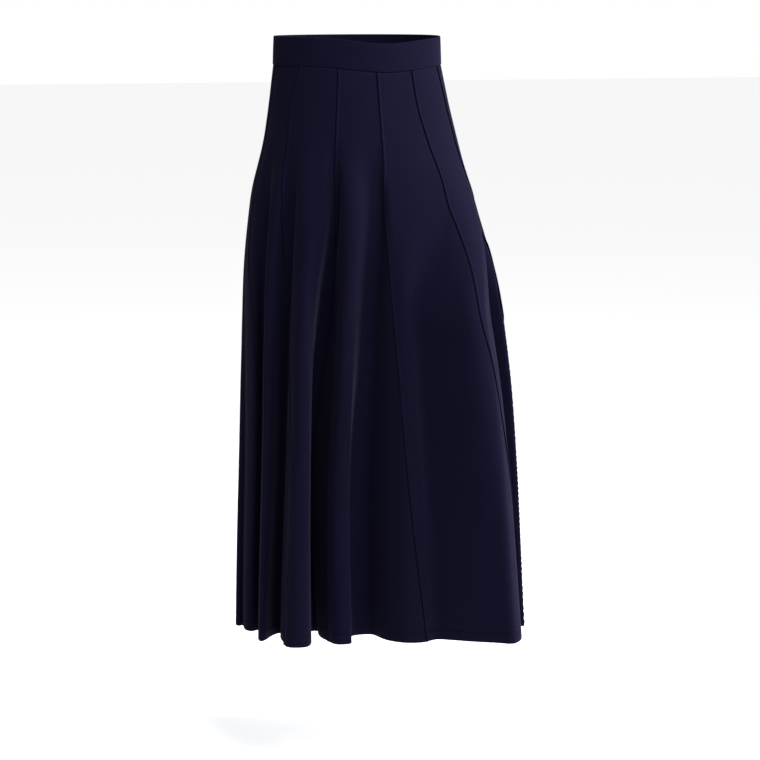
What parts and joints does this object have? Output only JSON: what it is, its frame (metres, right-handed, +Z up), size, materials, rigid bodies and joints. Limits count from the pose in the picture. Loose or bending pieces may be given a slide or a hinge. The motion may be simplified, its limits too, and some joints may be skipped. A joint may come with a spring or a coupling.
{
  "type": "maxi skirt",
  "caption": "Long pull-on skirt with a flat waistband over flared gores that fall into deep soft folds, joined by narrow raised seams",
  "frame": {"origin": "middle of the waist, at half the waistband's height", "axes": "+Z up, -Y front, +X the wearer's left"},
  "size_m": [0.4851, 0.4481, 0.9383],
  "materials": {
    "navy_knit": "smooth matte double knit with a soft sheen"
  },
  "bodies": {
    "root": {"waistband_front": "navy_knit", "waistband_back": "navy_knit", "gore_left_1": "navy_knit", "gore_left_2": "navy_knit", "gore_left_3": "navy_knit", "gore_left_4": "navy_knit", "gore_left_5": "navy_knit", "gore_left_6": "navy_knit", "gore_right_1": "navy_knit", "gore_right_2": "navy_knit", "gore_right_3": "navy_knit", "gore_right_4": "navy_knit", "gore_right_5": "navy_knit", "gore_right_6": "navy_knit"}
  },
  "joints": []
}
